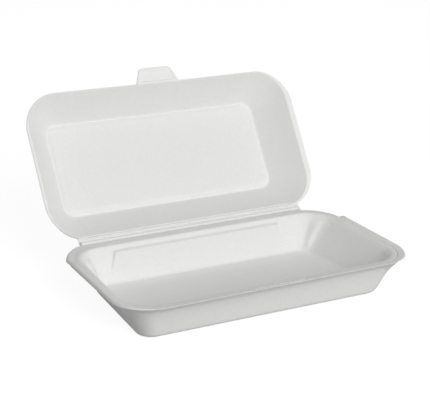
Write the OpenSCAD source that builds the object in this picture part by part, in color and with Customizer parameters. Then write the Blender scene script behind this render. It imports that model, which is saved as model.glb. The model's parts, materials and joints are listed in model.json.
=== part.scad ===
// Hinged foam food container: a shallow tray and a domed lid formed from one sheet of white
// foam, joined along the back by a pressed living hinge, with a locking tab on the lid.
// The tray stands on the XY plane, its long side along X and its front towards -Y.

/* [Rim] */
// Length of the lid's rim, and of the tray's rim without its ledge
rim_l = 240; // [220:1:280]
// Corner radius of both rims, seen from above
rim_r = 30; // [26:0.5:36]

/* [Tray] */
// Depth of the tray's rim, front to back, without its ledge
tray_w = 116.5; // [110:0.5:130]
// Height of the tray
tray_h = 32; // [26:0.5:40]
// Sheet thickness of the tray's floor and walls
tray_t = 3.2; // [2.4:0.1:3.8]
// Width of the tray's flange
tray_flange = 7.5; // [7:0.25:9]
// Thickness of the tray's flange
tray_flange_t = 2.6; // [2:0.1:3.2]
// Corner radius of the opening, seen from above
opening_r = 14; // [12:0.5:20]
// Length of the floor between the end walls
floor_l = 197; // [182:1:204]
// Depth of the floor between the front and back walls
floor_w = 85; // [76:1:88]
// Corner radius of the floor, seen from above
floor_corner_r = 9; // [8:0.5:12]
// Radius where the floor turns up into the walls, inside
floor_fillet = 8; // [4:0.5:10]
// Radius where the underside turns up into the walls, outside
base_fillet = 6; // [3:0.5:8]
// Radius where the walls turn out into the flange, outside
under_fillet = 4; // [2:0.25:4.5]

/* [Tray ledge and slot] */
// Extra width of the flange at the two ends, where they meet the front corners
ledge_end = 7; // [4:0.25:9]
// Extra width of the flange at the two ends, where they meet the back corners
ledge_back = 3; // [1:0.25:4]
// Extra width of the flange along the front
ledge_front = 4; // [3.5:0.25:7]
// Turn of the back corner, from the end wall, at which the ledge stops
ledge_turn = 14; // [6:1:24]
// Play of the locking tab in its slot, at each end
slot_play = 2.25; // [1:0.25:4]
// Width of the slot
slot_w = 2.2; // [1.6:0.1:2.6]

/* [Wall panels] */
// Depth of the shallow panels pressed into the tray's walls, at their top edge
panel_sink = 1.1; // [0.4:0.1:1.6]
// Distance from the front and back panels' top corners to the wall's rounded corners
panel_gap_front = 23; // [10:0.5:40]
// Distance from the end panels' top corners to the wall's rounded corners
panel_gap_end = 10; // [6:0.5:16]
// Distance from the panels' lower corners to the wall's rounded corners
panel_gap_low = 8; // [4:0.25:12]
// Width of a panel's sloped border
panel_border = 1.6; // [1:0.1:2.5]
// Distance from the rim down to the panels
panel_drop = 3.3; // [2.4:0.1:5]

/* [Lid] */
// How much shorter than the tray's rim the lid's rim is, front to back
lid_short = 0.25; // [0:0.25:3]
// Depth of the lid, from its rim to its top
lid_depth = 25.5; // [20:0.5:28]
// Sheet thickness of the lid
lid_t = 1.5; // [1.2:0.1:2.2]
// Width of the lid's flange
lid_flange = 4.5; // [4:0.5:7]
// Length of the lid's top
crown_l = 188.5; // [170:0.5:205]
// Depth of the lid's top, front to back
crown_w = 74.5; // [64:0.5:82]
// Corner radius of the lid's top
crown_r = 9; // [8:0.5:14]
// Shift of the lid's top towards the front
crown_shift = 2.2; // [0:0.2:6]
// How far the lid's middle panel is pressed inwards
crown_step = 2.5; // [1:0.25:4]
// Width of the sloped border round that panel
crown_bevel = 4; // [2.5:0.25:6]

/* [Locking tab] */
// Width of the tab at the lid's rim
tab_w = 39.5; // [33:0.5:42]
// Width of the tab at its tip
tab_tip_w = 31; // [24:0.5:32]
// Length of the tab
tab_l = 12.5; // [11:0.5:18]
// Radius of the tab's tip corners
tab_r = 4; // [2:0.5:5]
// Width of the raised border round the tab
tab_border = 3; // [2:0.25:4]
// Depth of the panel inside that border
tab_sink = 0.5; // [0.2:0.1:0.6]

/* [Hinge] */
// Length of the hinge along the crease
hinge_l = 199; // [160:1:202]
// Distance from the crease to each rim
hinge_reach = 3; // [2.5:0.25:5]
// Thickness of the pressed hinge strip
hinge_t = 1; // [0.8:0.05:1.1]
// Radius of the bead along the crease
bead_r = 0.8; // [0.6:0.05:1]
// Angle to which the lid stands open
open_angle = 125; // [95:1:150]

/* [Hidden] */
// Gap between the two flanges when the lid is shut, and round the bead
seat_gap = 0.3;
// Steps in each rounded corner
corner_steps = 9;
// Angle over which the ledge's end slopes back to the plain rim
ledge_slope = 3;
// Turns of the profile at which the floor fillets have a ring
fillet_turns = [0, 15, 30, 45, 60, 75];
// Turns of the profile at which the fillet under the flange has a ring
under_turns = [90, 60, 30, 0];
// Radius of the soft edge between wall and flange
lip_r = 1.8;
// How far a plate reaches into the flange that carries it
root = 3;
// Depth of a plate below the flange's face
plate_inset = 0.2;
// Flare of the hinge strip's ends
hinge_flare = 2;
// Steps in small plan arcs
arc_steps = 6;
foam = [0.93, 0.93, 0.92];

// The tray's opening and the crease
tray_open_l = rim_l / 2 - tray_flange;
tray_open_w = tray_w / 2 - tray_flange;
axis_y = tray_w / 2 + hinge_reach;
axis_z = tray_h + seat_gap / 2;

// The lid's rim and its opening, measured from the middle of that rim
lid_w = tray_w - lid_short;
lid_open_l = rim_l / 2 - lid_flange;
lid_open_w = lid_w / 2 - lid_flange;
lid_centre = hinge_reach + lid_w / 2;
lid_face = seat_gap / 2;

// Plan of one ring: four rounded corners about the points at mid, and four stations on each
// side that mark the edges of the wall panels. half = half size along x and y, reach = half
// lengths of the end and long panels, sink = outward move of the panel, shift = move along y.
function ring(half, mid, z, reach, sink = 0, shift = 0) =
    let (r = half - mid)
    let (plan = concat(
        corner([mid.x, -mid.y], r, front_turns(-90)),
        [for (s = stations(reach.x)) [half.x + s.y * sink, s.x]],
        corner(mid, r, back_turns),
        [for (s = stations(reach.y)) [-s.x, half.y + s.y * sink]],
        corner([-mid.x, mid.y], r, mirrored_turns),
        [for (s = stations(reach.x)) [-half.x - s.y * sink, -s.x]],
        corner(-mid, r, front_turns(180)),
        [for (s = stations(reach.y)) [s.x, -half.y - s.y * sink]]))
    [for (p = plan) [p.x, p.y + shift, z]];

// Stations along a side as [place, share of the panel's depth]
function stations(reach) =
    [[-reach - panel_border, 0], [-reach, 1], [reach, 1], [reach + panel_border, 0]];

function corner(at, r, turns) = [for (a = turns) at + [r.x * cos(a), r.y * sin(a)]];
function front_turns(start) = [for (i = [0:corner_steps]) start + 90 * i / corner_steps];

// The back corners have a station at each end of the ledge's slope
back_span = 90 - ledge_turn - ledge_slope;
back_turns = concat([0, ledge_turn],
    [for (i = [0:corner_steps - 2]) ledge_turn + ledge_slope + back_span * i / (corner_steps - 2)]);
mirrored_turns = [for (i = [corner_steps:-1:0]) 180 - back_turns[i]];

// Outer edge of the tray's flange, with the ledge along the front and at the ends, where it
// narrows towards the back
function ledge_ring(z) =
    let (half = [rim_l, tray_w] / 2, mid = half - [rim_r, rim_r], reach = panel_reach(panel_top))
    let (wide = half + [ledge_end, ledge_front], wide_mid = wide - [rim_r, rim_r])
    let (taper = (ledge_end - ledge_back) / (mid.y + wide_mid.y))
    let (plan = concat(
        corner([wide_mid.x, -wide_mid.y], [rim_r, rim_r], front_turns(-90)),
        [for (s = stations(reach.x)) [wide.x - taper * (s.x + wide_mid.y), s.x]],
        [for (a = back_turns) mid + ledge_radius(a) * [cos(a), sin(a)]],
        [for (s = stations(reach.y)) [-s.x, half.y]],
        [for (a = mirrored_turns) [-mid.x, mid.y] + ledge_radius(180 - a) * [cos(a), sin(a)]],
        [for (s = stations(reach.x)) [taper * (wide_mid.y - s.x) - wide.x, -s.x]],
        corner(-wide_mid, [rim_r, rim_r], front_turns(180)),
        [for (s = stations(reach.y)) [s.x, -wide.y]]))
    [for (p = plan) [p.x, p.y, z]];
function ledge_radius(turn) = turn <= ledge_turn ? rim_r + ledge_back : rim_r;

// Half size of a wall at a height h above its floor: a fillet that runs into a sloping line
function wall_at(h, foot, slope, fillet) =
    let (lean = atan2(1, slope), tangent = fillet * tan(lean / 2))
    h < tangent * sin(lean)
        ? foot - tangent + sqrt(fillet * fillet - (fillet - h) * (fillet - h))
        : foot + h * slope;

// A closed skin through a list of rings. The first and the last ring are closed by a fan of
// triangles round the ring's middle.
module loft(rings, upright) {
    count = len(rings[0]);
    levels = len(rings);
    points = concat([for (r = rings) each r], [middle(rings[0]), middle(rings[levels - 1])]);
    first_mid = levels * count;
    last_low = (levels - 1) * count;
    faces = [for (i = [0:count - 1])
        let (j = (i + 1) % count)
        each concat(
            [[first_mid, j, i], [first_mid + 1, last_low + i, last_low + j]],
            [for (k = [0:levels - 2]) let (a = k * count, b = a + count)
                each [[a + i, a + j, b + j], [a + i, b + j, b + i]]])];
    turned = [for (f = faces) [f[2], f[1], f[0]]];
    polyhedron(points, upright ? faces : turned);
}
function middle(r) = [for (p = r) 1] * r / len(r);

// The tray's walls: slopes of the end and long walls, and the outer wall's foot
tray_rise = tray_h - tray_t;
tray_slope = [(tray_open_l - floor_l / 2) / tray_rise, (tray_open_w - floor_w / 2) / tray_rise];
function skin(t, slope) = t * sqrt(1 + slope * slope);
tray_foot = [
    floor_l / 2 - tray_t * tray_slope.x + skin(tray_t, tray_slope.x),
    floor_w / 2 - tray_t * tray_slope.y + skin(tray_t, tray_slope.y)];
tray_corner_gain = (opening_r - floor_corner_r) / tray_rise;

function tray_in(h) = [
    wall_at(h, floor_l / 2, tray_slope.x, floor_fillet),
    wall_at(h, floor_w / 2, tray_slope.y, floor_fillet)];
function tray_out(z) = [
    wall_at(z, tray_foot.x, tray_slope.x, base_fillet),
    wall_at(z, tray_foot.y, tray_slope.y, base_fillet)];

// Middles of the rounded corners, the same for the inner and the outer wall
function tray_mid(h) =
    let (r = floor_corner_r + tray_corner_gain * h)
    [floor_l / 2 + tray_slope.x * h - r, floor_w / 2 + tray_slope.y * h - r];

// The panels start where the fillet ends, and they are deepest just below their top border
panel_low = floor_fillet * (1 - cos(fillet_turns[5])) + panel_border;
panel_top = tray_rise - panel_drop - panel_border;
function panel_reach(h) =
    let (up = min(max((h - panel_low) / (panel_top - panel_low), 0), 1))
    let (top_gap = [panel_gap_end, panel_gap_front], low_gap = panel_gap_low * [1, 1])
    let (straight = tray_mid(h))
    [straight.y, straight.x] - low_gap + up * (low_gap - top_gap);
function tray_ring(h, sink) = ring(tray_in(h), tray_mid(h), tray_t + h, panel_reach(h), sink);
function lip_ring(turn) =
    let (low = tray_rise - lip_r, out = lip_r * (1 - cos(turn)))
    ring(tray_in(low) + [out, out], tray_mid(low), tray_t + low + lip_r * sin(turn), panel_reach(low));
function outer_ring(z, out = 0) =
    ring(tray_out(z) + [out, out], tray_mid(z - tray_t), z, panel_reach(z - tray_t));
function under_ring(top, turn) =
    outer_ring(top - under_fillet * (1 - sin(turn)), under_fillet * (1 - cos(turn)));

module tray_shell() {
    flange_low = tray_h - tray_flange_t;
    rings = concat(
        [for (a = fillet_turns) tray_ring(floor_fillet * (1 - cos(a)), 0)],
        [tray_ring(panel_low, 0), tray_ring(panel_top, panel_sink)],
        [tray_ring(panel_top + panel_border, 0)],
        [for (a = [0, 45, 90]) lip_ring(a)],
        [ledge_ring(tray_h), ledge_ring(flange_low)],
        [for (a = under_turns) under_ring(flange_low, a)],
        [for (i = [len(fillet_turns) - 1:-1:0]) outer_ring(base_fillet * (1 - cos(fillet_turns[i])))]);
    loft(rings, true);
}

// Half of the hinge strip, from the crease at y = 0 back to its root in the flange, with
// rounded notches at both ends
module hinge_plate() {
    back = hinge_reach + root;
    notch = [for (i = [0:arc_steps])
        let (a = 90 * i / arc_steps)
        [hinge_l / 2 + hinge_flare * (1 - cos(a)), -seat_gap - (back - seat_gap) * sin(a)]];
    other = [for (i = [arc_steps:-1:0]) [-notch[i].x, notch[i].y]];
    linear_extrude(hinge_t) polygon(concat(notch, other));
}

module crease(r) {
    rotate([0, 90, 0]) cylinder(h = hinge_l, r = r, center = true, $fn = 32);
}

module tray() {
    slot_y = axis_y - hinge_reach - lid_w - slot_w / 2 - seat_gap;
    slot_l = tab_w + 2 * slot_play;
    color(foam) difference() {
        union() {
            tray_shell();
            translate([0, axis_y, tray_h - plate_inset - hinge_t]) hinge_plate();
            translate([0, axis_y, axis_z]) crease(bead_r);
        }
        translate([0, slot_y, tray_h]) cube([slot_l, slot_w, 3 * tray_flange_t], center = true);
    }
}

// The lid, shut and with the crease at the origin: its rim faces down
lid_slope = [(lid_open_l - crown_l / 2) / lid_depth, (lid_open_w - crown_w / 2) / lid_depth];
lid_corner_gain = (rim_r - lid_flange - crown_r) / lid_depth;
function lid_half(d) = [lid_open_l - lid_slope.x * d, lid_open_w - lid_slope.y * d];
function lid_mid(d) = lid_half(d) - (rim_r - lid_flange - lid_corner_gain * d) * [1, 1];

// One ring of the lid at depth d, its half size grown from the inner wall's by out
function lid_ring(d, out, at) =
    ring(lid_half(at) + out, lid_mid(at), lid_face + d, [tab_w, tab_w] / 2, 0,
        -lid_centre - crown_shift * at / lid_depth);

module lid_shell() {
    top = lid_depth;
    soft = lid_t / 2 * [1, 1];
    panel = -crown_bevel * [1, 1];
    lip = lip_r * [1, 1];
    outer = [skin(lid_t, lid_slope.x), skin(lid_t, lid_slope.y)];
    rim = [rim_l, lid_w] / 2 - lid_half(0);
    rings = [
        lid_ring(top - crown_step, panel, top),
        lid_ring(top, -soft, top),
        lid_ring(top - soft.x, [0, 0], top - soft.x),
        lid_ring(lip_r, [0, 0], lip_r),
        lid_ring(lip_r * (1 - sin(45)), lip * (1 - cos(45)), lip_r),
        lid_ring(0, lip, lip_r),
        lid_ring(0, rim, 0),
        lid_ring(lid_t, rim, 0),
        lid_ring(lid_t, outer, lid_t),
        lid_ring(top, outer, top),
        lid_ring(top + lid_t, soft, top),
        lid_ring(top + lid_t, -soft, top),
        lid_ring(top - crown_step + lid_t, panel, top)];
    loft(rings, false);
}

// Outline of the tab, narrower by inset all round, from the rim at y = 0 towards -Y
module tab_outline(inset) {
    lean = atan2((tab_w - tab_tip_w) / 2, tab_l);
    half = tab_tip_w / 2 - inset;
    tip = tab_l - inset;
    r = max(tab_r - inset, 1);
    grow = (tip - r) * tan(lean);
    arc = [for (i = [0:arc_steps])
        let (a = lean + (90 - lean) * i / arc_steps)
        [half - r + r * cos(a), -tip + r - r * sin(a)]];
    side = concat([[half + grow + root * tan(lean), root - inset]], arc);
    other = [for (i = [len(side) - 1:-1:0]) [-side[i].x, side[i].y]];
    polygon(concat(side, other));
}

module tab() {
    thick = lid_t - plate_inset;
    difference() {
        linear_extrude(thick) tab_outline(0);
        translate([0, 0, -tab_sink]) linear_extrude(2 * tab_sink)
            intersection() {
                tab_outline(tab_border);
                translate([-tab_w, -tab_l]) square([2 * tab_w, tab_l - tab_border / 2]);
            }
    }
}

module shut_lid() {
    difference() {
        union() {
            lid_shell();
            translate([0, 0, lid_face + plate_inset]) hinge_plate();
            translate([0, -hinge_reach - lid_w, lid_face + plate_inset / 2]) tab();
        }
        crease(bead_r + seat_gap);
    }
}

module lid() {
    color(foam) translate([0, axis_y, axis_z]) rotate([-open_angle, 0, 0]) shut_lid();
}

tray();
lid();
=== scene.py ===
import json
import math

import bpy
import numpy as np
from mathutils import Matrix, Quaternion, Vector


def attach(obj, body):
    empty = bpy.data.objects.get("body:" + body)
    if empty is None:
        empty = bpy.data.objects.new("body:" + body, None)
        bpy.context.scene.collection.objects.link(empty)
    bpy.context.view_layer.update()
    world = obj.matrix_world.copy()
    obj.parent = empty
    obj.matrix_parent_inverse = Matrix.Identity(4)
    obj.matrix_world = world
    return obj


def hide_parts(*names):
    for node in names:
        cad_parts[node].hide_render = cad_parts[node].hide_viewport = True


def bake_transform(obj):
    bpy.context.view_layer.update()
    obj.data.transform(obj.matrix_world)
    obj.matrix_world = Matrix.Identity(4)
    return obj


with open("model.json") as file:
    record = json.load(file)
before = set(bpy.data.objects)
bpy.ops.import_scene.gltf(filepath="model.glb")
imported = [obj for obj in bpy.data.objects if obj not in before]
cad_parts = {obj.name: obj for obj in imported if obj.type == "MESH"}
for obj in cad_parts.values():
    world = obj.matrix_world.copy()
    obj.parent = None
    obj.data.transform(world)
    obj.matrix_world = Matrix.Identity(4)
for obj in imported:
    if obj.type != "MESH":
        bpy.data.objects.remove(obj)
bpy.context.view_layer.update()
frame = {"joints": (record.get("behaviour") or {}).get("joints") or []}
hinge = frame["joints"][0]
mm = 0.001
creaseY = hinge["pos_m"][1] / mm
creaseZ = hinge["pos_m"][2] / mm
openAngle = math.radians(-hinge["range_deg"][0])  # the lid is shut at the low end of its range
print("frame loaded, lid open at", round(math.degrees(openAngle)), "degrees")


# smooth step 3t^2 - 2t^3, held between 0 and 1
def ease(t):
    t = np.clip(t, 0, 1)
    return t * t * (3 - 2 * t)


# places from the first stop to the last, each span cut into its own number of even steps
def spread(stops, steps):
    stops = np.atleast_2d(np.asarray(stops, float))
    spans = [stops[:, i:i + 1] + (stops[:, i + 1:i + 2] - stops[:, i:i + 1]) * np.arange(n) / n
             for i, n in enumerate(steps)]
    return np.concatenate(spans, axis=1)


# The walk round a rim: right side, back right corner, back, and so on against the clock.
walk = {
    "sideSteps": (5, 7, 12, 18, 12, 7, 5),  # between the breaks of a side
    "frontSteps": (5, 7, 12, 60, 12, 7, 5),  # the front has the slot or the tab in its middle
    "border": 1.3,  # sloped edge of a wall panel
    "ledgeStop": 8,  # turn of the back corners at which the ledge stops, degrees
    "ledgeSlope": 3,
}
sideAxes = np.array([[[1, 0], [0, 1]], [[0, 1], [-1, 0]], [[-1, 0], [0, -1]], [[0, -1], [1, 0]]], float)
sideSteps = [walk["sideSteps"]] * 3 + [walk["frontSteps"]]
ledgeEnd = walk["ledgeStop"] + walk["ledgeSlope"]
turnStops = (0, walk["ledgeStop"], ledgeEnd, 90 - ledgeEnd, 90 - walk["ledgeStop"], 90)
cornerTurns = spread(turnStops, (4, 6, 18, 6, 4))[0]


# a rounded rectangle for each level: on a side, outward * half + onward * place;
# in a corner, the quarter ellipse outward * r cos(turn) + onward * r sin(turn) round the point at mid;
# slide moves the breaks of the back onward
def walkRim(half, mid, reach, middle, slide=0):
    half, mid, reach = (np.atleast_2d(a) for a in (half, mid, reach))
    turn = np.radians(cornerTurns)
    parts = []
    for (out, on), steps in zip(sideAxes, sideSteps):
        across = int(abs(out[1]))
        along = 1 - across
        straight, panel = mid[:, along], reach[:, along]
        core = np.full(len(half), middle)
        ends = np.stack([core, panel, panel + walk["border"], straight], axis=1)
        stops = np.concatenate([-ends[:, ::-1], ends], axis=1)
        stops[:, 1:-1] += slide * max(out[1], 0)
        places = spread(stops, steps)
        parts.append(half[:, across, None, None] * out + places[:, :, None] * on)
        radius = half - mid
        arc = mid[:, across] + radius[:, across] * np.cos(turn)[:, None]
        rise = mid[:, along] + radius[:, along] * np.sin(turn)[:, None]
        parts.append(arc.T[:, :, None] * out + rise.T[:, :, None] * on)
    return np.concatenate(parts, axis=1)


# what each column of the walk lies on: outward direction, share of a wall panel, share of the ledge
def walkColumns():
    turn = np.radians(cornerTurns)[:, None]
    outward, panel, ledge = [], [], []
    drop = 1 - ease((cornerTurns - walk["ledgeStop"]) / walk["ledgeSlope"])
    climb = ease((cornerTurns - 90 + ledgeEnd) / walk["ledgeSlope"])
    cornerLedge = [drop, climb, np.ones_like(drop), np.ones_like(drop)]
    sideLedge = [1, 0, 1, 1]
    for i, ((out, on), steps) in enumerate(zip(sideAxes, sideSteps)):
        count = sum(steps)
        outward += [np.tile(out, (count, 1)), np.cos(turn) * out + np.sin(turn) * on]
        ramp = ease(np.arange(steps[1]) / steps[1])
        flat = np.ones(sum(steps[2:5]))
        panel += [np.zeros(steps[0]), ramp, flat, 1 - ramp, np.zeros(steps[6] + len(cornerTurns))]
        ledge += [np.full(count, sideLedge[i]), cornerLedge[i]]
    return np.concatenate(outward), np.concatenate(panel), np.concatenate(ledge)


outward, panelShare, ledgeShare = walkColumns()
frontStart = sum(sum(s) for s in sideSteps[:3]) + 3 * len(cornerTurns)
coreStart = frontStart + sum(walk["frontSteps"][:3])  # first column of the front's middle
coreEnd = coreStart + walk["frontSteps"][3]


# a value for each column from its values at the ends, front and back, shared out by outward y squared
def roundWalk(ends, front, back):
    across = outward[:, 1] ** 2
    return ends * (1 - across) + np.where(outward[:, 1] < 0, front, back) * across


# plan normals of a closed outline, from the chord between each point's two neighbours
def planNormals(outline):
    chord = np.roll(outline, -1, axis=0) - np.roll(outline, 1, axis=0)
    chord /= np.linalg.norm(chord, axis=1, keepdims=True)
    return np.stack([chord[:, 1], -chord[:, 0]], axis=1)


# values as a column, one row for each level
def column(values):
    return np.reshape(values, (-1, 1)).astype(float)


floorShares = (0.1, 0.3, 0.5, 0.7, 0.85, 0.95)  # rings of a floor, from its middle out
baseShares = (0.95, 0.85, 0.65, 0.4, 0.15)  # rings of an underside, from its edge in


# copies of a ring, drawn in to shares of its size round its middle
def shrink(ring, shares):
    middle = ring.mean(axis=0)
    return middle + np.reshape(shares, (-1, 1, 1)) * (ring - middle)


# one ring of points per row, from plan points and heights
def lift(plan, z):
    z = np.broadcast_to(np.reshape(z, (-1, 1)), plan.shape[:2])
    return np.concatenate([plan, z[:, :, None]], axis=2)


# half size at height h over a floor: a fillet that runs into a line leaning out by slope
def wallAt(h, foot, slope, fillet):
    lean = np.arctan2(1, slope)
    tangent = fillet * np.tan(lean / 2)
    low = np.clip(h, 0, fillet)
    arc = foot - tangent + np.sqrt(fillet ** 2 - (fillet - low) ** 2)
    return np.where(h < tangent * np.sin(lean), arc, foot + h * slope)


# grid of rings to a closed mesh: quads between rings, a fan round the middle of the first and last ring.
# window = (top row, low row, first column, last column) leaves out the quads after those rows and
# walls the hole between them
def skinRings(name, rings, material, window=None, pressed=None):
    levels, count = rings.shape[:2]
    points = np.concatenate([rings.reshape(-1, 3), rings[[0, -1]].mean(axis=1)])
    ids = np.arange(levels * count).reshape(levels, count)
    near, far = ids, np.roll(ids, -1, axis=1)
    quads = np.stack([near[:-1], near[1:], far[1:], far[:-1]], axis=-1)
    keep = np.ones(quads.shape[:2], bool)
    walls = np.empty((0, 4), int)
    if window:
        top, low, first, last = window
        keep[[top, low], first:last] = False
        on, past = slice(first, last), slice(first + 1, last + 1)
        walls = np.concatenate([
            np.stack([ids[top, past], ids[top, on], ids[low + 1, on], ids[low + 1, past]], axis=1),
            np.stack([ids[top + 1, on], ids[top + 1, past], ids[low, past], ids[low, on]], axis=1),
            ids[[[top, top + 1, low, low + 1]], first],
            ids[[[top + 1, top, low + 1, low]], last]])
    pole = np.full(count, levels * count)
    fans = np.concatenate([np.stack([pole, near[0], far[0]], axis=1),
                           np.stack([pole + 1, far[-1], near[-1]], axis=1)])
    piece = meshPiece(name, points, np.concatenate([quads[keep], walls]), fans, material)
    if pressed is not None:  # share of painted glow for each point: a paler colour that stands in for light shining through the thin rim
        share = piece.data.attributes.new("pressed", "FLOAT", "POINT")
        share.data.foreach_set("value", np.concatenate([pressed.ravel(), [0, 0]]).astype(np.float32))
    return piece


# mesh object at the origin from points in millimetres, its faces turned outwards if its volume is negative
def meshPiece(name, points, quads, fans, material, sharp=38):
    tris = np.concatenate([quads[:, [0, 1, 2]], quads[:, [0, 2, 3]], fans])
    a, b, c = (points[tris[:, i]] for i in range(3))
    way = -1 if np.einsum("ij,ij->", a, np.cross(b, c)) < 0 else 1
    mesh = bpy.data.meshes.new(name)
    mesh.from_pydata((points * mm).tolist(), [], quads[:, ::way].tolist() + fans[:, ::way].tolist())
    mesh.validate()
    mesh.materials.append(material)
    mesh.shade_smooth()
    mesh.set_sharp_from_angle(angle=math.radians(sharp))
    piece = bpy.data.objects.new(name, mesh)
    bpy.context.scene.collection.objects.link(piece)
    print(name, len(points), "points", len(tris), "triangles")
    return piece


# Foam: closed cells under a thin skin. The group gives a mottled colour, a roughness and a bump height.
foamCells = {
    "cells": 850, "grain": 700, "cloud": 420,  # scales
    "grainDetail": 3, "cloudDetail": 2, "rough": (0.5, 0.75),
}


def foamGroup():
    group = bpy.data.node_groups.new("foamSkin", "ShaderNodeTree")
    sockets = (("Foam", "INPUT", "NodeSocketColor"), ("Mottle", "INPUT", "NodeSocketFloat"),
               ("Color", "OUTPUT", "NodeSocketColor"), ("Roughness", "OUTPUT", "NodeSocketFloat"),
               ("Height", "OUTPUT", "NodeSocketFloat"))
    for label, side, kind in sockets:
        group.interface.new_socket(label, in_out=side, socket_type=kind)
    nodes, link = group.nodes, group.links.new
    source, sink = nodes.new("NodeGroupInput"), nodes.new("NodeGroupOutput")
    place = nodes.new("ShaderNodeTexCoord").outputs["Object"]
    cells = nodes.new("ShaderNodeTexVoronoi")
    cells.inputs["Scale"].default_value = foamCells["cells"]
    grain = nodes.new("ShaderNodeTexNoise")
    grain.inputs["Scale"].default_value = foamCells["grain"]
    grain.inputs["Detail"].default_value = foamCells["grainDetail"]
    cloud = nodes.new("ShaderNodeTexNoise")
    cloud.inputs["Scale"].default_value = foamCells["cloud"]
    cloud.inputs["Detail"].default_value = foamCells["cloudDetail"]
    for node in (cells, grain, cloud):
        link(place, node.inputs["Vector"])
    both = nodes.new("ShaderNodeMath")
    both.operation = "ADD"
    link(grain.outputs["Fac"], both.inputs[0])
    link(cloud.outputs["Fac"], both.inputs[1])
    shade = nodes.new("ShaderNodeMath")  # 1 + mottle * (grain + cloud - 1)
    shade.operation = "MULTIPLY_ADD"
    link(both.outputs[0], shade.inputs[0])
    link(source.outputs["Mottle"], shade.inputs[1])
    base = nodes.new("ShaderNodeMath")
    base.operation = "SUBTRACT"
    base.inputs[0].default_value = 1
    link(source.outputs["Mottle"], base.inputs[1])
    link(base.outputs[0], shade.inputs[2])
    tint = nodes.new("ShaderNodeMix")
    tint.data_type = "RGBA"
    tint.blend_type = "MULTIPLY"
    tint.inputs["Factor"].default_value = 1
    link(source.outputs["Foam"], tint.inputs["A"])
    link(shade.outputs[0], tint.inputs["B"])
    rough = nodes.new("ShaderNodeMapRange")
    rough.inputs["To Min"].default_value = foamCells["rough"][0]
    rough.inputs["To Max"].default_value = foamCells["rough"][1]
    link(grain.outputs["Fac"], rough.inputs["Value"])
    height = nodes.new("ShaderNodeMath")  # cell domes with the grain over them
    height.operation = "SUBTRACT"
    link(grain.outputs["Fac"], height.inputs[0])
    link(cells.outputs["Distance"], height.inputs[1])
    link(tint.outputs["Result"], sink.inputs["Color"])
    link(rough.outputs["Result"], sink.inputs["Roughness"])
    link(height.outputs[0], sink.inputs["Height"])
    return group


foamSkin = foamGroup()


# foam skin, mixed towards a paler colour by the share of painted glow: painted light that stands in for
# light shining through the thin lid rim
def foamMaterial(name, look):
    material = bpy.data.materials.new(name)
    material.use_nodes = True
    nodes, link = material.node_tree.nodes, material.node_tree.links.new
    shader = nodes["Principled BSDF"]
    shader.inputs["Specular IOR Level"].default_value = look["gloss"]
    skin = nodes.new("ShaderNodeGroup")
    skin.node_tree = foamSkin
    skin.inputs["Foam"].default_value = (*look["colour"], 1)
    skin.inputs["Mottle"].default_value = look["mottle"]
    bump = nodes.new("ShaderNodeBump")
    bump.inputs["Strength"].default_value = look["bump"]
    bump.inputs["Distance"].default_value = look["bumpDepth"] * mm
    # painted glow: this share pales the colour where light would shine through the thin rim
    pressed = nodes.new("ShaderNodeAttribute")
    pressed.attribute_name = "pressed"
    tint = nodes.new("ShaderNodeMix")
    tint.data_type = "RGBA"
    tint.inputs["B"].default_value = (*look["pressed"], 1)
    link(pressed.outputs["Fac"], tint.inputs["Factor"])
    link(skin.outputs["Color"], tint.inputs["A"])
    link(tint.outputs["Result"], shader.inputs["Base Color"])
    link(skin.outputs["Roughness"], shader.inputs["Roughness"])
    link(skin.outputs["Height"], bump.inputs["Height"])
    link(bump.outputs["Normal"], shader.inputs["Normal"])
    return material


foamLook = {
    "colour": (0.88, 0.88, 0.87), "pressed": (0.96, 0.96, 0.95),  # the second colour is painted glow on the lid's thin rim, a paler tone that stands in for light shining through it
    "mottle": 0.06, "gloss": 0.25, "bump": 0.25, "bumpDepth": 0.25,
}
trayFoam = foamMaterial("trayFoam", foamLook)
lidFoam = foamMaterial("lidFoam", foamLook)
print("foam materials made")


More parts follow.
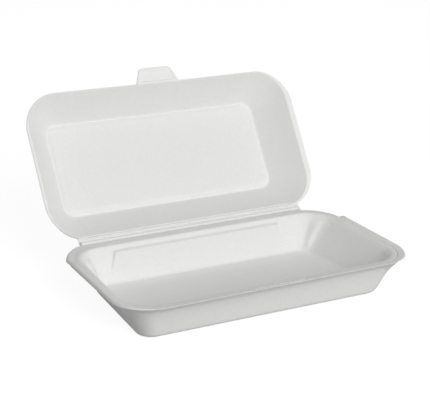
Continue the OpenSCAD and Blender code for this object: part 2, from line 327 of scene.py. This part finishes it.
# Tray: sizes in millimetres, the part's own frame.
tray = {
    "rim": (240, 116.5), "rimRadius": 30, "height": 32, "sheet": 3.2,
    "flange": (6.5, 7.5), "lip": (6, 4.5, 1.8),  # rounding of the opening at the ends, front, back
    "floor": (194.4, 85), "floorCorner": 9, "openingRadius": (23, 14),  # radius at the rim: inside, outside
    "floorFillet": 3, "baseFillet": 6, "filletTurn": 75,  # radii, and the degrees that their rows cover
    "narrow": (0.055, 0.02),  # share by which the walls draw in from front to back: base, rim
    "lean": 0.7, "skew": 0.01,  # the base sits a little to the right, and a little turned
    "floorBack": 1.8,  # the inside reaches this much further back at the floor than in front
    "ledge": (4.9, 6.4, 4), "ledgeBack": (2.1, 4.6),  # extra flange: left, right, front; back of both ends
    "slot": (44, 2.2), "slotGap": 0.3,  # length and width, and its distance from the shut lid's edge
    "slotRows": (2, 0, 11), "slotRim": 1.2,  # rows of the grid before the slot, and one past it
    "fineRows": (0, 0.3, 18),  # close rows over the first share of the flange
    "panelRise": (0, 2.6), "panelDrop": 3.3,  # ends, long sides; distance of the panels' top from the rim
    "panelGapTop": (16, 4), "panelGapLow": 7,  # from the corners' start, at the top: long sides, ends
    "panelSlide": 4,  # the back panel sits a little to the left
    # trimmed edge at the ends, front, back: thickness, rounding of its top, lean; then rounding of its foot
    "edge": (2.6, 0.9, 2.2), "edgeTop": (2.2, 0.2, 0.6), "edgeDraft": (0.6, 0.5, 0.2), "edgeLow": 0.3,
    "rib": 2, "ribTurn": (40, 18),  # upright rib in the back corners: height; middle and half width, degrees
    "ribRun": (8, 5), "ribStop": 2,  # run-outs at the floor and the top, and how far below the panel's top
    "groove": 0.5, "grooveWidth": 1.8, "grooveIn": 5.2,  # line pressed along the right end, and how far in
    "grooveTurn": (0.15, 0.45),  # outward x over which it starts
    "dip": 2,  # the flange of the front and ends falls this much towards the inside
    "dipRun": (-5, 27), "dipRise": (14, 30),  # y over which it runs out, heights over which it starts
    "under": (3, 8, 4), "underLine": 0.5,  # drop of the bend under the flange, and its straight share
    "underCorner": 9,  # more drop at the front right corner
    "wallLine": 18,  # the outer wall's rows start below this height
    "cornerPush": 3.6, "pushTurn": (22, 68, 88),  # back left corner, bent out a little over these degrees
}
lidShort = 0.25  # the lid's rim is this much shorter, front to back
hingeReach = creaseY - tray["rim"][1] / 2


# rings from the middle of the floor up the wall, over the rim and down to the middle of the underside
def makeTray():
    half = np.array(tray["rim"]) / 2
    floorHalf = np.array(tray["floor"]) / 2
    sheet, height = tray["sheet"], tray["height"]
    rise = height - sheet
    shift = tray["floorBack"] / 2
    inside = floorHalf + [0, shift]
    slope = (half - np.array(tray["flange"]) - floorHalf) / rise
    innerSlope = (half - np.array(tray["flange"]) - inside) / rise
    foot = floorHalf + sheet * (np.sqrt(1 + slope ** 2) - slope)
    innerGain, outerGain = ((r - tray["floorCorner"]) / rise for r in tray["openingRadius"])
    filletTurn = tray["filletTurn"]
    panelLow = tray["floorFillet"] * (1 - math.cos(math.radians(filletTurn))) + walk["border"]
    panelTop = rise - tray["panelDrop"] - walk["border"]
    slotHalf = tray["slot"][0] / 2

    # draws a plan in towards the back: x * (1 - share * y / half)
    def drawIn(plan, z):
        base, rim = tray["narrow"]
        share = base + (rim - base) * np.reshape(z, (-1, 1)) / height
        down = 1 - np.reshape(z, (-1, 1)) / height
        x = plan[..., 0] * (1 - share * plan[..., 1] / half[1]) + tray["lean"] * down
        return np.stack([x, plan[..., 1] - tray["skew"] * plan[..., 0] * down], axis=-1)

    # half size of the inside at height h over the floor: a fillet, then a line leaning out
    def inner(h):
        return wallAt(column(h), inside, innerSlope, tray["floorFillet"])

    # the same for the outside, at height z over the underside
    def outer(z):
        return wallAt(column(z), foot, slope, tray["baseFillet"])

    # where the corners start: half size less a corner radius that grows by gain with height
    def mid(h, gain):
        h = column(h)
        return floorHalf + slope * h - (tray["floorCorner"] + gain * h)

    # where the panels end: mid less a gap that runs evenly from its low to its top value
    def reach(h):
        up = np.clip((column(h) - panelLow) / (panelTop - panelLow), 0, 1)
        low, top = tray["panelGapLow"], np.array(tray["panelGapTop"])
        return mid(h, innerGain) - low - up * (top - low)

    # the panel stands in from the wall, more towards its top edge, then runs back over its border
    def raised(h):
        h = column(h)
        deep = np.clip((h - panelLow) / (panelTop - panelLow), 0, 1)
        most = np.where(outward[:, 1] == 0, *tray["panelRise"])
        return most * deep * (1 - ease((h - panelTop) / walk["border"]))

    # upright rib in the back corners: (1 - u^2)^2 across, run out at the floor and the lip
    def ribbed(h):
        h = column(h)
        middle, wide = tray["ribTurn"]
        turn = np.degrees(np.arctan2(outward[:, 1], np.abs(outward[:, 0])))
        across = np.clip(1 - ((turn - middle) / wide) ** 2, 0, 1) ** 2
        start, end = tray["ribRun"]
        return tray["rib"] * across * ease(h / start) * (1 - ease((h - panelTop + tray["ribStop"]) / end))

    # inner wall at height h: the walk, further back near the floor, less outward * (panel + rib)
    def wallRings(h):
        plan = walkRim(inner(h), mid(h, innerGain), reach(h), slotHalf, tray["panelSlide"])
        plan = plan + np.stack([0 * column(h), shift * (1 - column(h) / rise)], axis=2)
        z = sheet + np.asarray(h, float)
        plan = plan - (raised(h) * panelShare + ribbed(h))[:, :, None] * outward
        return lift(drawIn(plan, z), z)

    # outline of the outer wall at height z, with breaks in line with the panels
    def outerWalk(z):
        straight = mid(z - sheet, outerGain)
        breaks = np.minimum(reach(z - sheet), straight - 2 * walk["border"])
        return walkRim(outer(z), straight, breaks, slotHalf)

    # floor, fillet, wall with its panels
    fillet = tray["floorFillet"] * (1 - np.cos(np.radians(np.linspace(0, filletTurn, 12))))
    wallHeights = np.concatenate([
        fillet, np.linspace(panelLow, panelTop, 12),
        panelTop + walk["border"] * np.linspace(0, 1, 8)[1:]])
    wall = wallRings(wallHeights)
    floorRings = shrink(wall[0], floorShares)

    # soft lip: an arc from the wall's own lean over to level
    lipRadius = roundWalk(*tray["lip"])
    lean = np.arctan(roundWalk(innerSlope[0], innerSlope[1], innerSlope[1]))
    turn = lean + np.linspace(0, 1, 10)[:, None] * (math.pi / 2 - lean)
    low, high = wallRings([wallHeights[-1], rise])[:, :, :2]
    start = (rise - lipRadius * (1 - np.sin(lean)) - wallHeights[-1]) / (rise - wallHeights[-1])
    lip = low + start[:, None] * (high - low)
    lip = lip + (lipRadius * (np.cos(lean) - np.cos(turn)))[:, :, None] * outward
    lip = np.concatenate([lip, (height - lipRadius * (1 - np.sin(turn)))[:, :, None]], axis=2)

    # outline of the flange with its ledge: outward * ledge on the ends and front, none along the back
    radius = tray["rimRadius"]
    breaks = np.minimum(reach(rise), half - radius - 2 * walk["border"])
    plain = walkRim(half, half - radius, breaks, slotHalf)[0]
    backSpan, frontSpan = half[1] - radius, half[1] + tray["ledge"][2] - radius
    taper = np.clip((plain[:, 1] + frontSpan) / (backSpan + frontSpan), 0, 1)  # 0 in front, 1 at the back
    atFront = np.where(plain[:, 0] < 0, *tray["ledge"][:2])
    atBack = np.where(plain[:, 0] < 0, *tray["ledgeBack"])
    ledgeX = np.sign(plain[:, 0]) * (atFront + (atBack - atFront) * taper) * (outward[:, 0] != 0)
    ledgeY = np.where(outward[:, 1] < 0, -tray["ledge"][2], 0)
    back = outward * (atBack * ledgeShare)[:, None]
    outline = plain + np.where(outward[:, 1:] > 0, back, np.stack([ledgeX, ledgeY], axis=1))
    turnBack = np.degrees(np.arctan2(outward[:, 1], -outward[:, 0]))  # 0 at the left end, 90 at the back
    pushFull, pushFade, pushEnd = tray["pushTurn"]
    pushed = ease(turnBack / pushFull) * ease((pushEnd - turnBack) / (pushEnd - pushFade))
    pushed = pushed * (plain[:, 0] < 0)
    outline = outline + tray["cornerPush"] * (pushed * (1 - ledgeShare))[:, None] * outward
    normal = planNormals(outline)

    # trimmed edge: a rounded top, a face that leans in, a rounded foot
    thick, topRound, draft = (roundWalk(*tray[key]) for key in ("edge", "edgeTop", "edgeDraft"))
    quarter = np.radians(np.linspace(0, 90, 6))[:, None]
    lowRound = tray["edgeLow"]
    inset = np.concatenate([topRound * (1 - np.sin(quarter)), draft + lowRound * (1 - np.cos(quarter))])
    drop = np.concatenate([topRound * (1 - np.cos(quarter)), thick - lowRound * (1 - np.sin(quarter))])
    edge = np.concatenate([outline - inset[:, :, None] * normal, (height - drop)[:, :, None]], axis=2)

    # flange top and underside, with rows at the slot's edges
    slotNear = -half[1] + lidShort - tray["slotGap"]
    slotFar = slotNear - tray["slot"][1]
    frontMiddle = (coreStart + coreEnd) // 2

    # rows on straight lines between two rings, where the front's middle is at each y of stops
    def across(start, end, stops):
        shares = (np.array(stops) - start[frontMiddle, 1]) / (end[frontMiddle, 1] - start[frontMiddle, 1])
        return start + shares[:, None, None] * (end - start)

    lipEdge, topEdge, lowEdge = lip[-1], edge[0], edge[-1]
    fine = lipEdge + np.linspace(*tray["fineRows"])[1:, None, None] * (topEdge - lipEdge)
    nearRows = slotNear + np.linspace(*tray["slotRows"])
    slotRows = [*nearRows, slotFar, slotFar - tray["slotRim"]]
    flangeTop = np.concatenate([fine, across(lipEdge, topEdge, slotRows)])
    fromGroove = (np.linalg.norm(flangeTop - topEdge, axis=2) - tray["grooveIn"]) * 2 / tray["grooveWidth"]
    grooveStart, grooveFull = tray["grooveTurn"]
    grooved = ledgeShare * ease((outward[:, 0] - grooveStart) / (grooveFull - grooveStart))
    flangeTop[:, :, 2] -= tray["groove"] * grooved * np.clip(1 - fromGroove ** 2, 0, 1) ** 2

    # underside: from the edge's foot to the wall along a blend of a straight line and a quarter ellipse
    levels = np.array([tray["wallLine"], height - thick.min()])
    low, high = drawIn(outerWalk(levels), levels)

    # outer wall at height z, on the line through its outlines at both levels
    def wallPlan(z):
        return low + ((z - levels[0]) / (levels[1] - levels[0]))[:, :, None] * (high - low)

    inCorner = ease(-2 * outward[:, 0] * outward[:, 1]) * (outward[:, 0] > 0)
    sink = roundWalk(*tray["under"]) + tray["underCorner"] * inCorner
    lowZ = lowEdge[None, :, 2]
    span = lowEdge[None, :, :2] - wallPlan(lowZ)
    slotShare = (np.array([slotFar, slotNear]) - lowEdge[frontMiddle, 1]) / -span[0, frontMiddle, 1]
    share = np.concatenate([slotShare, np.sin(np.radians(np.linspace(32, 90, 12)))])[:, None]
    bent = tray["underLine"] * share + (1 - tray["underLine"]) * (1 - np.sqrt(1 - share ** 2))
    underZ = lowZ - sink * bent
    under = wallPlan(underZ) + (1 - share)[:, :, None] * span
    under = np.concatenate([under, underZ[:, :, None]], axis=2)

    # outer wall, base fillet and underside
    baseZ = tray["baseFillet"] * (1 - np.cos(np.radians(np.linspace(filletTurn, 0, 12))))
    outerZ = np.concatenate([np.linspace(levels[0], baseZ[0], 8)[1:-1], baseZ])
    outerWall = lift(drawIn(outerWalk(outerZ), outerZ), outerZ)
    base = shrink(outerWall[-1], baseShares)

    # the flange dips inwards: dip * distance from its edge over its width, run out before the back
    dipFront, dipBack = tray["dipRun"]
    dipLow, dipTop = tray["dipRise"]
    dip = tray["dip"] * (1 - ease((plain[:, 1] - dipFront) / (dipBack - dipFront)))
    for rows in (wall, lip, flangeTop):
        fromEdge = np.sum((topEdge[:, :2] - rows[:, :, :2]) * outward, axis=2)
        fall = np.clip(fromEdge / (tray["flange"][1] + tray["ledge"][2]), 0, 1)
        rows[:, :, 2] -= dip * fall * ease((rows[:, :, 2] - dipLow) / (dipTop - dipLow))

    groups = [floorRings, wall, lip, flangeTop, edge, under, outerWall, base]
    starts = np.cumsum([0] + [len(g) for g in groups])
    slotTop, slotLow = starts[3] + len(fine) + len(nearRows) - 1, starts[5]  # near edge, far edge
    piece = skinRings("foamTray", np.concatenate(groups), trayFoam, (slotTop, slotLow, coreStart, coreEnd))
    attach(piece, "tray")
    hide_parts("tray")


makeTray()


# Lid: made shut, its crease at the origin and its rim facing down, then turned open.
lid = {
    "depth": 25.5, "sheet": 1.5, "lip": 0.7, "seat": 0.15,  # seat: the rim's gap over the crease's plane
    "flange": (2.4, 5.4, 1, 0.8),  # left, right, front, back
    "crown": (188.5, 74.5), "crownRadius": 9, "crownShift": 2.2, "crownStep": 2.5, "crownBevel": 5,
    "edgeTop": 0.6, "edgeLow": 0.4, "edgeDraft": 0.6,
    "tab": (38.5, 31, 12.5), "tabRadius": 4.6, "tabBorder": 3, "tabSink": 0.9,  # tab: base, tip, length
    "tabSoft": 0.9,  # width of the edge of the tab's panel
    "tabLine": 0.35, "tabLineWidth": 1.6,  # pressed strip in the wall below the tab
    "tabLineRun": (4, 8, 6),  # its run-outs at the rim and the crown, and how far from the crown it stops
    "sag": 0.4, "sagRun": (10, 30), "sagSpan": 105,  # sag between the ends: start and run, half length
    "sideBreak": 6,  # distance of the grid's breaks from the rounded corners
}


# outline of the tab at even arc lengths: straight side, quarter-round tip corner, and its mirror
def tabOutline(count):
    base, tip, length = lid["tab"]
    radius = lid["tabRadius"]
    lean = math.atan2((base - tip) / 2, length)
    turn = np.linspace(lean, math.pi / 2, 24)
    centre = np.array([tip / 2, length]) - radius
    side = centre + radius * np.stack([np.cos(turn), np.sin(turn)], axis=1)
    side = np.concatenate([[[base / 2, 0]], side])
    line = np.concatenate([side * [-1, 1], side[::-1]])
    run = np.concatenate([[0], np.cumsum(np.linalg.norm(np.diff(line, axis=0), axis=1))])
    at = np.linspace(0, run[-1], count + 1)[:-1]
    return np.stack([np.interp(at, run, line[:, 0]), np.interp(at, run, line[:, 1])], axis=1)


# distance inside the tab from its sides, tip and root, for plan points x and distance y past the rim
def insideTab(x, y):
    base, tip, length = lid["tab"]
    lean = math.atan2((base - tip) / 2, length)
    fromSide = (base / 2 - y * math.tan(lean) - np.abs(x)) * math.cos(lean)
    return np.minimum(np.minimum(fromSide, length - y), y + lid["tabBorder"] / 2)


# rings from the middle of the crown down the wall, round the rim and back over the outside
def makeLid():
    rimHalf = np.array([tray["rim"][0], tray["rim"][1] - lidShort]) / 2
    left, right, front, back = lid["flange"]
    opening = rimHalf - [(left + right) / 2, (front + back) / 2]
    openShift = np.array([left - right, front - back]) / 2
    depth, sheet, seat = lid["depth"], lid["sheet"], lid["seat"]
    slope = (opening - np.array(lid["crown"]) / 2) / depth
    openRadius = tray["rimRadius"] - (left + right) / 2
    cornerGain = (openRadius - lid["crownRadius"]) / depth
    centre = hingeReach + rimHalf[1]
    tabHalf = lid["tab"][0] / 2

    # rings at depths d, the half size of the inner wall at depth "at" grown by out
    def rings(d, out, at):
        d, at = (column(v) for v in np.broadcast_arrays(d, at))
        wallHalf = opening - slope * at
        mid = wallHalf - (openRadius - cornerGain * at)
        plan = walkRim(wallHalf + out, mid, mid - lid["sideBreak"], tabHalf)
        shift = openShift - ([0, lid["crownShift"]] + openShift) * at / depth
        plan = plan + (shift - [0, centre])[:, None]
        return lift(plan, seat + d)

    # crown panel with a soft crest, its bevel (1.5 b^2 - 0.5 b^3) and the valley at the wall
    step, bevel, soft = lid["crownStep"], lid["crownBevel"], sheet / 2
    b = np.linspace(0, 1, 10)
    fall = 1.5 * b ** 2 - 0.5 * b ** 3
    crest = rings(depth - step + step * fall, column((bevel - soft) * b - bevel), depth)
    panel = shrink(crest[0], floorShares)
    turn = np.radians(np.linspace(0, 90, 5))[1:]
    valleyDepth = depth - soft * (1 - np.cos(turn))
    valley = rings(valleyDepth, column(soft * (np.sin(turn) - 1)), valleyDepth)
    wallDepth = np.linspace(depth - soft, lid["lip"], 14)[1:]
    wall = rings(wallDepth, 0, wallDepth)
    front = np.zeros(wall.shape[1])
    x = wall[0, coreStart:coreEnd, 0]
    front[coreStart:coreEnd] = ease((tabHalf - np.abs(x)) / lid["tabLineWidth"])
    start, end, stop = lid["tabLineRun"]
    fade = ease((wallDepth - lid["lip"]) / start) * ease((depth - stop - wallDepth) / end)
    wall[:, :, 1] -= lid["tabLine"] * fade[:, None] * front

    # soft lip: an arc from the wall's own lean over to level; then the outline with the tab in its front
    lean = np.arctan(roundWalk(slope[0], slope[1], slope[1]))
    turn = lean + np.linspace(0, 1, 8)[1:, None] * (math.pi / 2 - lean)
    low, high = rings([lid["lip"], 0], 0, [lid["lip"], 0])[:, :, :2]
    lip = low + np.sin(lean)[:, None] * (high - low)
    lip = lip + (lid["lip"] * (np.cos(lean) - np.cos(turn)))[:, :, None] * outward
    lip = np.concatenate([lip, seat + lid["lip"] * (1 - np.sin(turn))[:, :, None]], axis=2)
    mid = rimHalf - tray["rimRadius"]
    outline = walkRim(rimHalf, mid, mid - lid["sideBreak"], tabHalf)[0] - [0, centre]
    frontY = -hingeReach - 2 * rimHalf[1]
    outline[coreStart:coreEnd] = tabOutline(coreEnd - coreStart) * [1, -1] + [0, frontY]
    normal = planNormals(outline)

    top, low, draft = lid["edgeTop"], lid["edgeLow"], lid["edgeDraft"]
    quarter = np.radians(np.linspace(0, 90, 5))
    inset = np.concatenate([top * (1 - np.sin(quarter)), draft + low * (1 - np.cos(quarter))])
    rise = np.concatenate([top * (1 - np.cos(quarter)), sheet - low * (1 - np.sin(quarter))])
    edge = lift(outline - inset[:, None, None] * normal, seat + rise)

    # rows at shares of the way between two rings
    def across(start, end, shares):
        return start + np.reshape(shares, (-1, 1, 1)) * (end - start)

    # flange face, with the tab's panel pressed into it, and the flange's outer face
    face = across(lip[-1], edge[0], np.linspace(0, 1, 26)[1:-1])
    onTab = insideTab(face[:, :, 0], frontY - face[:, :, 1])
    nearTab = np.zeros(face.shape[:2])
    fromBorder = onTab[:, coreStart:coreEnd] - lid["tabBorder"]
    nearTab[:, coreStart:coreEnd] = ease(fromBorder / lid["tabSoft"] + 0.5)
    face[:, :, 2] += lid["tabSink"] * nearTab
    grow = sheet * np.sqrt(1 + slope ** 2)
    outerAt = np.linspace(sheet, depth, 12)
    outer = rings(outerAt, grow, outerAt)
    back = across(edge[-1], outer[0], np.linspace(0, 1, 14)[1:-1])

    # outer ridge round the crown and the sunken panel behind it
    turn = np.radians(np.linspace(0, 90, 6))[1:]
    ridge = rings(depth + sheet * np.sin(turn), (grow - soft) * column(np.cos(turn)) ** 2 + soft, depth)
    backOut = column((bevel - soft) * b[::-1] - bevel)
    backCrest = rings(depth + sheet - step * (1 - fall[::-1]), backOut, depth)
    backPanel = shrink(backCrest[-1], baseShares)
    groups = [panel, crest, valley, wall, lip, face, edge, back, outer, ridge, backCrest, backPanel]
    whole = np.concatenate(groups)
    # the flange face and trimmed edge rows get painted glow, a paler colour that stands in for light shining
    # through the thin rim
    rowShare = np.repeat([0, 0, 0, 0, 0, 1, 1, 0, 0, 0, 0, 0], [len(g) for g in groups])
    pressed = np.broadcast_to(rowShare[:, None], whole.shape[:2])
    away = -whole[:, :, 1]  # the sheet has sagged a little between its ends
    start, run = lid["sagRun"]
    sag = 0.5 * ease((away - start) / run) + 0.5 * np.clip((away - start) / (2 * rimHalf[1]), 0, 1)
    whole[:, :, 1] += lid["sag"] * sag * (1 - (whole[:, :, 0] / lid["sagSpan"]) ** 2)
    piece = skinRings("foamLid", turnOpen(whole), lidFoam, pressed=pressed)
    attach(piece, "lid")
    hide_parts("lid")


# turns shut points about the crease to the open angle and moves the crease to its place
def turnOpen(points):
    c, s = math.cos(openAngle), math.sin(openAngle)
    y, z = points[..., 1], points[..., 2]
    return np.stack([points[..., 0], creaseY + c * y + s * z, creaseZ - s * y + c * z], axis=-1)


makeLid()


# Hinge strip: the same sheet pressed thin, with a small bead along the crease. It is shaped for the lid's
# open angle.
strip = {
    "halfLength": 99.5, "flare": 2, "root": 5.6, "notch": 0.3,  # root: reach of a leg; notch: flare's start
    "inside": 1.3, "outside": 2.1,  # faces of the strip, measured from the crease's plane
    "bead": 1.45, "bend": 1.8,  # radius of the bead, and how far from the crease the strip bends
    "endRound": 1.5, "endMargin": 0.4,  # rounding of both ends; the flare's ellipse ends past the root
}


# closed section (straight tray leg, arc round the crease, straight lid leg, and back on the outside)
# carried along x between -half(q) and half(q), q = distance from the crease; half grows along a quarter
# ellipse, and the section thins towards its middle line along a quarter ellipse at both ends
def makeHinge():
    root, inside, outside = strip["root"], strip["inside"], strip["outside"]
    lidTurn = math.pi - openAngle  # direction of the lid's leg, seen from +x
    lidWay = np.array([math.cos(lidTurn), math.sin(lidTurn)])
    lidOut = np.array([lidWay[1], -lidWay[0]])
    tuck = math.asin(inside / strip["bead"])
    legStart = strip["bead"] * math.cos(tuck)
    q = np.linspace(root, legStart, 8)[:, None]
    arc = np.linspace(math.pi + tuck, lidTurn - tuck, 17)[1:-1]
    bead = strip["bead"] * np.stack([np.cos(arc), np.sin(arc)], axis=1)
    inner = np.concatenate([q * [-1, 0] + [0, -inside], bead, q[::-1] * lidWay + inside * lidOut])
    back = np.linspace(1.5 * math.pi, 2 * math.pi + lidTurn - math.pi / 2, 17)[1:-1]
    q = np.linspace(root, 0, 8)[:, None]
    curve = outside * np.stack([np.cos(back), np.sin(back)], axis=1)
    outer = np.concatenate([q * [-1, 0] + [0, -outside], curve, q[::-1] * lidWay + outside * lidOut])
    middle = (inner + outer) / 2
    onward = np.linspace(-root, root, len(inner))
    away = np.abs(np.concatenate([onward, onward[::-1]]))
    bow = np.clip((away - strip["notch"]) / (root + strip["endMargin"] - strip["notch"]), 0, 1)
    half = strip["halfLength"] + strip["flare"] * (1 - np.sqrt(1 - bow ** 2))
    near = strip["endRound"] * (1 - np.cos(np.radians(np.linspace(8, 90, 8)))) / strip["halfLength"]
    near = near - near[0]
    share = np.concatenate([near - 1, np.linspace(near[-1] - 1, 1 - near[-1], 41)[1:-1], 1 - near[::-1]])
    gap = np.clip(1 - (1 - np.abs(share)) / near[-1], 0, 0.99)
    thin = np.sqrt(1 - gap ** 2)[:, None, None]
    x = share[:, None] * half
    count = x.shape[1]
    innerFace, outerFace = (middle + thin * (side - middle) for side in (inner, outer))
    section = np.concatenate([innerFace, outerFace[:, ::-1]], axis=1)
    points = np.concatenate([x[:, :, None], section + [creaseY, creaseZ]], axis=2).reshape(-1, 3)
    ids = np.arange(len(points)).reshape(len(share), count)
    ahead = np.roll(ids, -1, axis=1)
    sides = np.stack([ids[:-1], ids[1:], ahead[1:], ahead[:-1]], axis=2).reshape(-1, 4)
    n = len(inner)
    front, rear = np.arange(n - 1), count - 1 - np.arange(n - 1)
    cap = np.stack([front, front + 1, rear - 1, rear], axis=1)
    faces = np.concatenate([sides, ids[0][cap], ids[-1][cap[:, ::-1]]])
    piece = meshPiece("hingeStrip", points, faces, np.empty((0, 3), int), trayFoam)
    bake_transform(piece)


makeHinge()


# Camera at the photograph's place: aim in millimetres, angles in degrees.
shot = {"azimuth": -32.857, "elevation": 20.55, "roll": 3.721, "distance": 1050,
        "aim": (-19.43, 4.92, 74.66), "lens": 120.18, "sensor": 36, "clip": 0.01}


# stands at aim + distance * direction, azimuth counted from -y towards +x, then rolls
def makeCamera():
    az, el = math.radians(shot["azimuth"]), math.radians(shot["elevation"])
    back = Vector((math.sin(az) * math.cos(el), -math.cos(az) * math.cos(el), math.sin(el)))
    camera = bpy.data.objects.new("camera", bpy.data.cameras.new("camera"))
    camera.data.lens = shot["lens"]
    camera.data.sensor_width = shot["sensor"]
    camera.data.clip_start = shot["clip"]
    camera.location = (Vector(shot["aim"]) + back * shot["distance"]) * mm
    camera.rotation_mode = "QUATERNION"
    tilt = Quaternion((0, 0, 1), math.radians(shot["roll"]))
    camera.rotation_quaternion = (-back).to_track_quat("-Z", "Y") @ tilt
    bpy.context.scene.collection.objects.link(camera)
    bpy.context.scene.camera = camera


makeCamera()


# Studio: a pale floor that keeps the shadow, an even world and soft lamps.
studio = {
    "ambient": 0.283, "floor": 0.5, "floorRough": 0.9, "seenFloor": 0.25, "floorGlow": 0.9,
    "floorHalf": 6.0, "floorZ": -0.0001,  # just under the base, so that the two faces do not coincide
    "aim": (0, 0.03, 0.05),  # what the lamps point at
}
lamps = [
    {"name": "keyLamp", "from": (0, -0.86, 0.51), "distance": 1.6, "size": 1.2, "power": 15},
    {"name": "fillLamp", "from": (0.6, -0.72, 0.36), "distance": 1.6, "size": 1.2, "power": 2.2},
]


# 1 for camera, glossy and transmission rays, 0 for the light that falls on the object
def seenShare(nodes, link):
    ray = nodes.new("ShaderNodeLightPath")
    share = ray.outputs["Is Camera Ray"]
    for label in ("Is Glossy Ray", "Is Transmission Ray"):
        larger = nodes.new("ShaderNodeMath")
        larger.operation = "MAXIMUM"
        link(share, larger.inputs[0])
        link(ray.outputs[label], larger.inputs[1])
        share = larger.outputs[0]
    return share


def makeStudio():
    scene = bpy.context.scene
    scene.view_settings.view_transform = "Standard"
    world = bpy.data.worlds.new("studioWorld")
    world.use_nodes = True
    scene.world = world
    nodes, link = world.node_tree.nodes, world.node_tree.links.new
    level = nodes.new("ShaderNodeMix")
    level.inputs["A"].default_value = studio["ambient"]
    level.inputs["B"].default_value = 1
    link(seenShare(nodes, link), level.inputs["Factor"])
    nodes["Background"].inputs["Color"].default_value = (1, 1, 1, 1)
    link(level.outputs["Result"], nodes["Background"].inputs["Strength"])

    size, low = studio["floorHalf"], studio["floorZ"]
    ground = bpy.data.meshes.new("floor")
    corners = [(-size, -size, low), (size, -size, low), (size, size, low), (-size, size, low)]
    ground.from_pydata(corners, [], [(0, 1, 2, 3)])
    floor = bpy.data.objects.new("floor", ground)
    scene.collection.objects.link(floor)
    paint = bpy.data.materials.new("floorPaint")
    paint.use_nodes = True
    ground.materials.append(paint)
    nodes, link = paint.node_tree.nodes, paint.node_tree.links.new
    matt = nodes["Principled BSDF"]
    matt.inputs["Base Color"].default_value = (studio["floor"],) * 3 + (1,)
    matt.inputs["Roughness"].default_value = studio["floorRough"]
    matt.inputs["Specular IOR Level"].default_value = 0
    shadow = nodes.new("ShaderNodeBsdfDiffuse")  # the camera sees a white floor with a faint shadow
    shadow.inputs["Color"].default_value = (studio["seenFloor"],) * 3 + (1,)
    glow = nodes.new("ShaderNodeEmission")
    glow.inputs["Strength"].default_value = studio["floorGlow"]
    seen = nodes.new("ShaderNodeAddShader")
    link(shadow.outputs[0], seen.inputs[0])
    link(glow.outputs[0], seen.inputs[1])
    mix = nodes.new("ShaderNodeMixShader")
    link(seenShare(nodes, link), mix.inputs[0])
    link(matt.outputs[0], mix.inputs[1])
    link(seen.outputs[0], mix.inputs[2])
    side = nodes.new("ShaderNodeNewGeometry")  # clear from below, so that the underside can be seen
    clear = nodes.new("ShaderNodeBsdfTransparent")
    either = nodes.new("ShaderNodeMixShader")
    link(side.outputs["Backfacing"], either.inputs[0])
    link(mix.outputs[0], either.inputs[1])
    link(clear.outputs[0], either.inputs[2])
    link(either.outputs[0], nodes["Material Output"].inputs["Surface"])

    for lamp in lamps:
        data = bpy.data.lights.new(lamp["name"], "AREA")
        data.size = lamp["size"]
        data.energy = lamp["power"]
        holder = bpy.data.objects.new(lamp["name"], data)
        toward = Vector(lamp["from"]).normalized()
        aim = Vector(studio["aim"])
        turned = toward.to_track_quat("Z", "Y").to_matrix().to_4x4()
        holder.matrix_world = Matrix.Translation(aim + toward * lamp["distance"]) @ turned
        scene.collection.objects.link(holder)


makeStudio()
print("camera and studio made")
